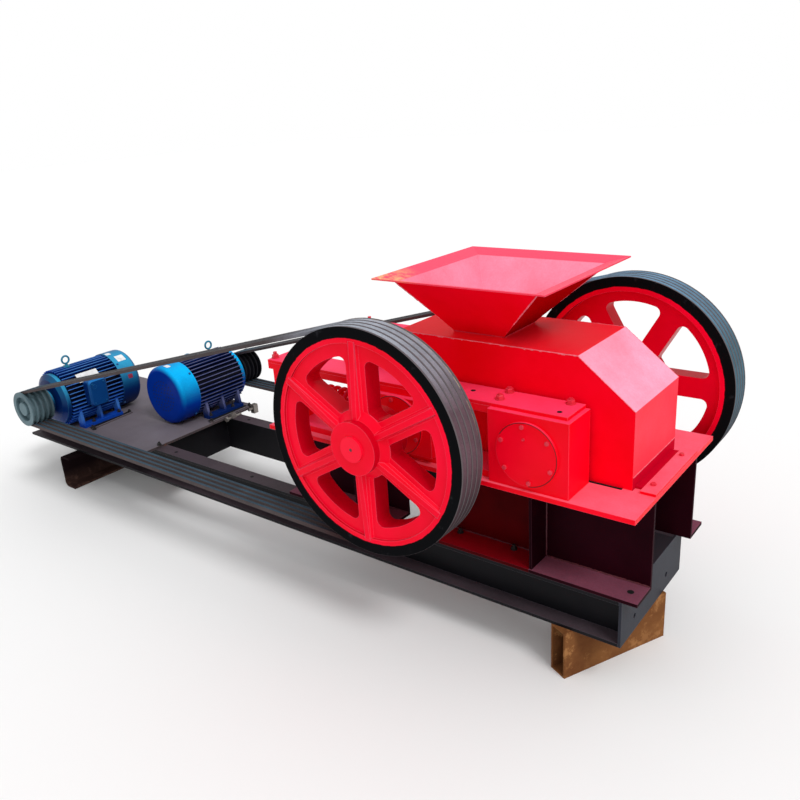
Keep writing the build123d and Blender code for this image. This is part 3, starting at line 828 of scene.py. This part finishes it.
# Hopper: weld seams up its corners and round its throat
def dress_hopper():
    corners = ((0.078, 0.086, -0.028, 0.212), (0.241, 0.086, 0.410, 0.212))
    tray = Tray()
    for low_x, low_y, high_x, high_y in corners:
        for side in (-1, 1):
            foot = (ROLL_X + low_x, side * low_y, HOOD_TOP + 0.004)
            tray.bead(foot, (ROLL_X + high_x, side * high_y, HOPPER_NECK - 0.001), 0.002)
    tray.place_on("hopper_weld_seams", "seam")
    z = HOOD_TOP + 0.001
    for side in (-1, 1):
        tray.bead((ROLL_X + 0.080, side * 0.0875, z), (ROLL_X + 0.239, side * 0.0875, z), 0.003)
    for x in (0.0765, 0.2425):
        tray.bead((ROLL_X + x, -0.084, z), (ROLL_X + x, 0.084, z), 0.003)
    tray.place_on("hopper_throat_weld", "bolt_red")


# Springs behind the sliding boxes: a wound wire between two washers, on a rod
def wind_springs():
    washer = 0.006
    for word, _ in SIDES:
        low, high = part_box(word + "_spring")
        y, z = (low.y + high.y) / 2, (low.z + high.z) / 2
        tray = Tray()
        tray.coil((low.x + 0.013, y, z), (high.x - 0.013, y, z), 0.039, 0.007, 10)
        tray.prism((low.x, y, z), X, 32, 0.046, washer)
        tray.prism((high.x - washer, y, z), X, 32, 0.046, washer)
        tray.rod((low.x, y, z), (high.x, y, z), 0.015, 20)
        coil = tray.place_on(word + "_wound_spring", "red")
        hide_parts(word + "_spring")


# Wheels: raised backs on the spokes' ribs, collar at the hub, shaft centre and key
def dress_wheels():
    hub_end, rim_end = 0.074, 0.292
    half_foot, half_hub, half_rim = 0.012, 0.007, 0.009
    hub_rise, rim_rise = 0.013, 0.001
    for word, axis, side, first in (("near", NEAR_AXIS, -1, 30), ("far", FAR_AXIS, 1, 0)):
        rise = Y * side
        tray = Tray()
        for k in range(6):
            a = math.radians(first + 60 * k)
            out, across = round_shaft(a), Vector((-math.sin(a), 0, math.cos(a)))
            middle = Vector((axis.x, side * RIB_FACE, axis.z))
            hub, rim = middle + out * hub_end, middle + out * rim_end
            foot, back = [], []
            for end, s, half, up in (
                (hub, -1, half_hub, hub_rise), (rim, -1, half_rim, rim_rise),
                (rim, 1, half_rim, rim_rise), (hub, 1, half_hub, hub_rise),
            ):
                foot.append(end + across * s * half_foot)
                back.append(end + across * s * half + rise * up)
            tray.slab(foot, (0, 0, 0), back)
        tray.prism((axis.x, side * 0.440, axis.z), rise, 64, 0.100, 0.018, top=0.0775)
        tray.place_on(word + "_spoke_backs", word + "_wheel", word + "_rotor")
        # Shaft centre: a dark disc as painted shade in its hole
        face = side * (RIB_FACE + HUB_OUT + SHAFT_OUT)
        tray.prism((axis.x, face - side * 0.001, axis.z), rise, 16, 0.0045, 0.0014)
        tray.place_on(word + "_shaft_centre", "bay_seam", body=word + "_rotor")
        tray.block((axis.x, side * 0.4805, axis.z + 0.0335), (0.014, 0.004, 0.009))
        tray.place_on(word + "_shaft_key", "bolt_red", body=word + "_rotor")


# Rounded outline in the plane across X
def rounded(x, y, z, width, height, corner, steps=6):
    points = []
    for turn, sy, sz in ((0, 1, 1), (1, -1, 1), (2, -1, -1), (3, 1, -1)):
        for i in range(steps + 1):
            a = math.pi / 2 * (turn + i / steps)
            side = sy * (width / 2 - corner) + corner * math.cos(a)
            rise = sz * (height / 2 - corner) + corner * math.sin(a)
            points.append((x, y + side, z + rise))
    return points


MOTORS = ((1, -1), (2, 1))


# Motor casings: fine fins on the drum and ribbed feet
def finned_casings():
    fin_middle, fin_depth, fin_width = 0.114, 0.020, 0.0032
    foot_out, foot_width, foot_length, foot_height = 0.108, 0.044, 0.190, 0.014
    rib, rib_step, rib_top = 0.012, 0.089, 0.036
    for number, side in MOTORS:
        axis = MOTOR_AXIS[number]
        low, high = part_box("motor%d_frame" % number)
        front = high.y if side > 0 else low.y
        length = high.y - low.y
        tray = Tray()
        tray.prism((axis.x, low.y, axis.z), Y, 64, DRUM_RADIUS, length)
        for k in range(FIN_COUNT):
            out = round_shaft(2 * math.pi * k / FIN_COUNT)
            turn = Matrix((out, Y, out.cross(Y))).transposed()
            middle = Vector((axis.x, (low.y + high.y) / 2, axis.z)) + out * fin_middle
            tray.block(middle, (fin_depth, length, fin_width), turn)
        for s in (-1, 1):
            foot_y = front - side * BODY_LENGTH / 2
            foot_x = axis.x + s * foot_out
            foot_middle = (foot_x, foot_y, FOOT_TOP - foot_height / 2)
            tray.block(foot_middle, (foot_width, foot_length, foot_height))
            for share in (-1, 0, 1):
                y = foot_y + share * rib_step - rib / 2
                outline = [
                    (foot_x - s * foot_width / 2, y, FOOT_TOP), (foot_x + s * foot_width / 4, y, FOOT_TOP),
                    (axis.x + s * 0.107, y, axis.z - rib_top), (axis.x + s * 0.076, y, axis.z - rib_top),
                ]
                tray.slab(outline, (0, rib, 0))
        casing = tray.place_on("motor%d_finned_casing" % number, "fins%d" % number)
        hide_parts("motor%d_frame" % number)
        lidded_box(number, side, axis, front)


# Terminal box with its lid, neck and cable boss
def lidded_box(number, side, axis, front):
    y, z = front - side * BOX_BACK, axis.z + BOX_UP
    inner_x = axis.x - side * FIN_RADIUS
    body, gap, lid_edge, lid_rise = 0.028, 0.001, 0.009, 0.015
    lid_x = inner_x - side * (body + gap)
    tray = Tray()
    tray.slab(rounded(inner_x, y, z, BOX_WIDTH, BOX_HEIGHT, 0.018), (-side * body, 0, 0))
    lid = rounded(lid_x, y, z, BOX_WIDTH + 0.004, BOX_HEIGHT + 0.004, 0.020)
    lid_face = rounded(lid_x, y, z, BOX_WIDTH - 0.010, BOX_HEIGHT - 0.010, 0.014)
    tray.slab(lid, (-side * lid_edge, 0, 0))
    ridge = [(x - side * lid_edge, a, b) for x, a, b in lid]
    tray.slab(ridge, (-side * lid_rise, 0, 0), lid_face)
    tray.block((axis.x - side * 0.112, y, z), (0.044, 0.062, 0.090))
    tray.prism((axis.x - side * GLAND_OUT, y + side * GLAND_SIDE, z + 0.052), Z, 24, 0.013, 0.020)
    box = tray.place_on("motor%d_lidded_box" % number, "box%d" % number)
    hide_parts("motor%d_terminal_box" % number)


# Motors: eyebolts, shield, lid and foot bolts, cowl grille, cable gland
def dress_motors():
    for number, side in MOTORS:
        axis = MOTOR_AXIS[number]
        word = "motor%d" % number
        front = side * (RIB_FACE - PULLEY_WIDTH - NOSE_GAP - SHIELD_LENGTH)
        back = front - side * BODY_LENGTH
        tray = Tray()
        y, z = front - side * EYE_BACK, axis.z + 0.120
        tray.prism((axis.x, y, z), Z, 16, 0.014, 0.008)
        tray.prism((axis.x, y, z + 0.008), Z, 12, 0.006, 0.010)
        tray.hoop((axis.x, y, axis.z + EYE_UP), X, 0.0165, 0.0042)
        tray.place_on(word + "_eyebolt", "eye")
        shield = front + side * SHIELD_LENGTH * 0.3
        for spot in circle(axis, shield, 0.105, 4, 45):
            tray.bolt(spot - Y * side * 0.003, Y * side, 0.008, washer=False)
        for spot in circle(axis, front + side * SHIELD_LENGTH, 0.036, 3, 90):
            tray.bolt(spot, Y * side, 0.005, washer=False)
        cowl_edge = Vector((axis.x, back - side * 0.012, axis.z))
        for spot in circle(axis, back - side * 0.012, 0.1265, 4, 45):
            tray.bolt(spot, spot - cowl_edge, 0.005)
        tray.place_on(word + "_cover_screws", "bolt_blue")
        # Cowl grille: black discs as painted shade in its holes
        end = back - side * COWL_LENGTH + side * 0.0006
        for ring, count in ((0.018, 6), (0.034, 12), (0.050, 18), (0.066, 24)):
            for spot in circle(axis, end, ring, count):
                tray.prism(spot, -Y * side, 8, 0.0032, 0.0009)
        tray.place_on(word + "_cowl_grille", "black")
        for sx in (-1, 1):
            for along in (0.082, 0.208):
                tray.bolt((axis.x + sx * 0.118, front - side * along, FOOT_TOP), Z, 0.0085, thread=0.006)
        tray.place_on(word + "_foot_bolts", "bolt_dark")
        outer = axis.x - side * (FIN_RADIUS + BOX_DEPTH)
        box_y, box_z = front - side * BOX_BACK, axis.z + BOX_UP
        for sy in (-1, 1):
            for sz in (-1, 1):
                tray.bolt((outer, box_y + sy * 0.027, box_z + sz * 0.043), X * -side, 0.0036, washer=False)
        tray.prism((outer, box_y + side * 0.018, box_z + 0.030), X * -side, 20, 0.010, 0.0016)
        tray.place_on(word + "_lid_screws", "box%d" % number)
        gland = (axis.x - side * GLAND_OUT, box_y + side * GLAND_SIDE, box_z + 0.0719)
        tray.hoop(gland, Z, 0.0085, 0.0022, steps=24, sides=8)
        tray.place_on(word + "_cable_gland", "eye")


# Bare patch on a motor, flat, or curved with the cowl where it has several strips
def patch(name, finish, number, angle, y0, y1, width, radius, strips=1):
    tray = Tray()
    axis = MOTOR_AXIS[number]
    step = width / strips / radius
    for i in range(strips):
        out = round_shaft(math.radians(angle) + (i - (strips - 1) / 2) * step)
        turn = Matrix((out.cross(Y) * -1, Y, out)).transposed()
        place = Vector((axis.x, (y0 + y1) / 2, axis.z)) + out * radius
        tray.block(place, (width / strips * 1.02, abs(y1 - y0), 0.0012), turn)
    tray.place_on(name, finish)


# White label plate and small tag on motor 1, stickers on the cowls, all without words
def label_motors():
    patch("motor1_label_plate", "label", 1, 42, -0.235, -0.135, 0.042, 0.1252)
    patch("motor1_label_tag", "label", 1, 18, -0.222, -0.186, 0.014, 0.1254)
    patch("motor1_cowl_label", "label", 1, 58, -0.022, 0.018, 0.036, COWL_SKIN, 8)
    patch("motor1_cowl_seal", "label", 1, 82, -0.040, -0.018, 0.022, COWL_SKIN, 6)
    patch("motor1_cowl_sticker", "sticker_red", 1, 14, -0.012, 0.010, 0.018, COWL_SKIN, 5)
    patch("motor2_cowl_seal", "label", 2, 84, -0.027, -0.007, 0.026, COWL_SKIN, 6)


# Motor plate: slots for the slide bolts, rail under motor 2 and its adjusting screws
def dress_plate():
    skew = Matrix.Rotation(math.radians(5), 3, "Z")
    slot_z, edge_z = BASE_TOP + 0.0006, BASE_TOP + 0.0022
    tray = Tray()
    # Slots: black strips as painted shade
    tray.block((-0.960, -0.150, slot_z), (0.026, 0.205, 0.0016), skew)
    tray.block((-1.240, -0.150, slot_z), (0.022, 0.205, 0.0016))
    tray.block((-0.540, 0.165, slot_z), (0.022, 0.215, 0.0016))
    tray.place_on("plate_slots", "black")
    tray.block((-0.9425, -0.150, edge_z), (0.007, 0.215, 0.0044), skew)
    tray.block((-0.523, 0.165, edge_z), (0.009, 0.230, 0.0044))
    tray.place_on("plate_slot_edges", "plate")
    for x, y in ((-0.945, -0.247), (-0.925, -0.252), (-0.968, -0.046), (-0.522, -0.215)):
        tray.bolt((x, y, BASE_TOP), Z, 0.009, thread=0.005)
    for x, y in ((-0.527, 0.062), (-0.523, 0.275)):
        tray.bolt((x, y, BASE_TOP), Z, 0.010, thread=0.006)
    tray.place_on("plate_bolts", "bolt_dark")
    x, z = -0.505, 0.292
    for y in (0.160, 0.286):
        tray.block((x, y, z - 0.002), (0.022, 0.024, 0.040))
    for y0, y1 in ((0.130, 0.205), (0.252, 0.299)):
        tray.rod((x, y0, z), (x, y1, z), 0.006, 12)
    for y in (0.130, 0.2995):
        tray.prism((x, y, z), -Y, 6, 0.011, 0.009)
    tray.place_on("plate_adjusting_screws", "thread")


# Bays that run on from the legs' plates towards the middle of the stand
def widen_stand():
    sheet, foot = 0.008, 0.010
    for word, side in SIDES:
        web = LEG_WEB[word]
        for place, x0, x1 in (("right", RIGHT_LEG[0], RIGHT_RIB), ("left", 0.552, LEFT_LEG[1])):
            low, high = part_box(f"{word}_{place}_leg")
            x, z = (x0 + x1) / 2, (low.z + high.z) / 2
            tray = Tray()
            tray.block((x, side * (web - sheet / 2), z), (x1 - x0, sheet, high.z - low.z))
            tray.block((x, side * (web + 0.045), low.z + foot / 2), (x1 - x0, 0.090, foot))
            finish = "bay" if (word, place) == ("near", "right") else "stand"
            tray.place_on(f"{word}_{place}_leg_bay", finish)


# Left support: bent channel, open towards the crusher end, with rounded bends
def bent_support():
    low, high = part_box("left_support")
    sheet, bend, steps = 0.009, 0.022, 6
    outer, inner = [], []
    for corner_z, begin in ((high.z - bend, math.pi / 2), (low.z + bend, math.pi)):
        for i in range(steps + 1):
            a = begin + math.pi / 2 * i / steps
            for points, radius in ((outer, bend), (inner, bend - sheet)):
                x, z = low.x + bend + radius * math.cos(a), corner_z + radius * math.sin(a)
                points.append((x, low.y, z))
    outline = [(high.x, low.y, high.z), *outer, (high.x, low.y, low.z), (high.x, low.y, low.z + sheet)]
    outline += [*reversed(inner), (high.x, low.y, high.z - sheet)]
    tray = Tray()
    tray.slab(outline, (0, high.y - low.y, 0))
    support = tray.place_on("bent_left_support", "brown")
    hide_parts("left_support")


# Strips along the table's ends, slots beside the hood and holes in the legs' feet
def dress_table():
    for word, x in (("crusher_end", 1.465), ("motor_side", 0.503)):
        tray = Tray()
        tray.block((x, 0, 0.572), (0.042, 0.310, 0.008))
        tray.place_on(word + "_table_strip", "table")
    # Slots beside the hood and holes in the feet: black as painted shade
    for word, side in SIDES:
        tray.block((1.306, side * 0.1547, 0.5683), (0.182, 0.0085, 0.0007))
        for x in (1.447, 0.277):
            tray.prism((x, side * (LEG_WEB[word] + 0.045), 0.2998), Z, 24, 0.009, 0.0008)
    tray.place_on("table_slots_and_foot_holes", "black")


# Stand and base: foot bolts, weld seams and drilled holes
def dress_stand():
    tray = Tray()
    for word, side in SIDES:
        for x in (0.900, 1.085, 0.320, 0.560):
            tray.bolt((x, side * (LEG_WEB[word] + 0.018), BASE_TOP), Z, 0.0095, thread=0.006)
    tray.place_on("stand_foot_bolts", "bolt_dark")
    for word, side in SIDES:
        y = side * (LEG_WEB[word] + 0.001)
        for (x0, x1), rib in ((RIGHT_LEG, RIGHT_RIB), (LEFT_LEG, LEFT_RIB)):
            for z in (0.3015, 0.5525):
                tray.bead((x0 + 0.004, y, z), (x1 - 0.004, y, z), 0.0025)
            for x in (rib - 0.0005, rib + 0.0085):
                tray.bead((x, y, 0.304), (x, y, 0.550), 0.0022)
    tray.place_on("stand_weld_seams", "bay_seam")
    # Holes in the base flanges: black discs as painted shade
    for x, y in ((0.020, -0.212), (-0.420, -0.212), (0.020, 0.176), (-0.420, 0.176)):
        tray.prism((x, y, 0.2892), Z, 20, 0.007, 0.0014)
    tray.place_on("base_flange_holes", "black")


dress_bearings()
wind_springs()
dress_hood()
dress_hopper()
dress_wheels()
finned_casings()
dress_motors()
label_motors()
dress_plate()
bent_support()
widen_stand()
dress_table()
dress_stand()


# Floor, even light from all round and one soft lamp
def studio():
    bpy.ops.mesh.primitive_plane_add(size=60, location=(0, 0, 0))
    floor = bpy.context.object
    floor.name = "studio_floor"
    material, tree, shader = new_material("pale_floor", 0.9)
    shader.inputs["Base Color"].default_value = (0.86, 0.86, 0.86, 1)
    floor.data.materials.append(material)
    world = bpy.data.worlds.new("soft_studio")
    world.use_nodes = True
    tree = world.node_tree
    glow = tree.nodes["Background"]
    glow.inputs["Color"].default_value = (1, 1, 1, 1)
    seen = add(tree, "ShaderNodeLightPath").outputs["Is Camera Ray"]
    tree.links.new(remap(tree, seen, 0.0, 1.0, 0.88, 1.0), glow.inputs["Strength"])
    bpy.context.scene.world = world
    sun = bpy.data.lights.new("key_lamp", "SUN")
    sun.energy = 1.25
    sun.angle = math.radians(18)
    lamp = bpy.data.objects.new("key_lamp", sun)
    bpy.context.collection.objects.link(lamp)
    lamp.rotation_euler = Vector((-0.75, 0.25, -1.0)).to_track_quat("-Z", "Y").to_euler()


CAMERA_PLACE = Vector((2.1024, -1.9169, 1.5282))
CAMERA_YAW = 0.6760
CAMERA_PITCH = -0.3561
CAMERA_ROLL = -0.0673
CAMERA_LENS = 35.76


# Camera at the place solved from the photograph
def photo_camera():
    ahead = Vector((
        -math.sin(CAMERA_YAW) * math.cos(CAMERA_PITCH),
        math.cos(CAMERA_YAW) * math.cos(CAMERA_PITCH),
        math.sin(CAMERA_PITCH),
    ))
    level = Vector((math.cos(CAMERA_YAW), math.sin(CAMERA_YAW), 0))
    above = level.cross(ahead)
    right = level * math.cos(CAMERA_ROLL) + above * math.sin(CAMERA_ROLL)
    up = above * math.cos(CAMERA_ROLL) - level * math.sin(CAMERA_ROLL)
    data = bpy.data.cameras.new("photo_camera")
    data.sensor_width = 36.0
    data.lens = CAMERA_LENS
    data.clip_end = 200.0
    camera = bpy.data.objects.new("photo_camera", data)
    bpy.context.collection.objects.link(camera)
    turn = Matrix((right, up, -ahead)).transposed()
    camera.matrix_world = Matrix.Translation(CAMERA_PLACE) @ turn.to_4x4()
    bpy.context.scene.camera = camera


studio()
photo_camera()
bpy.context.scene.view_settings.view_transform = "Standard"
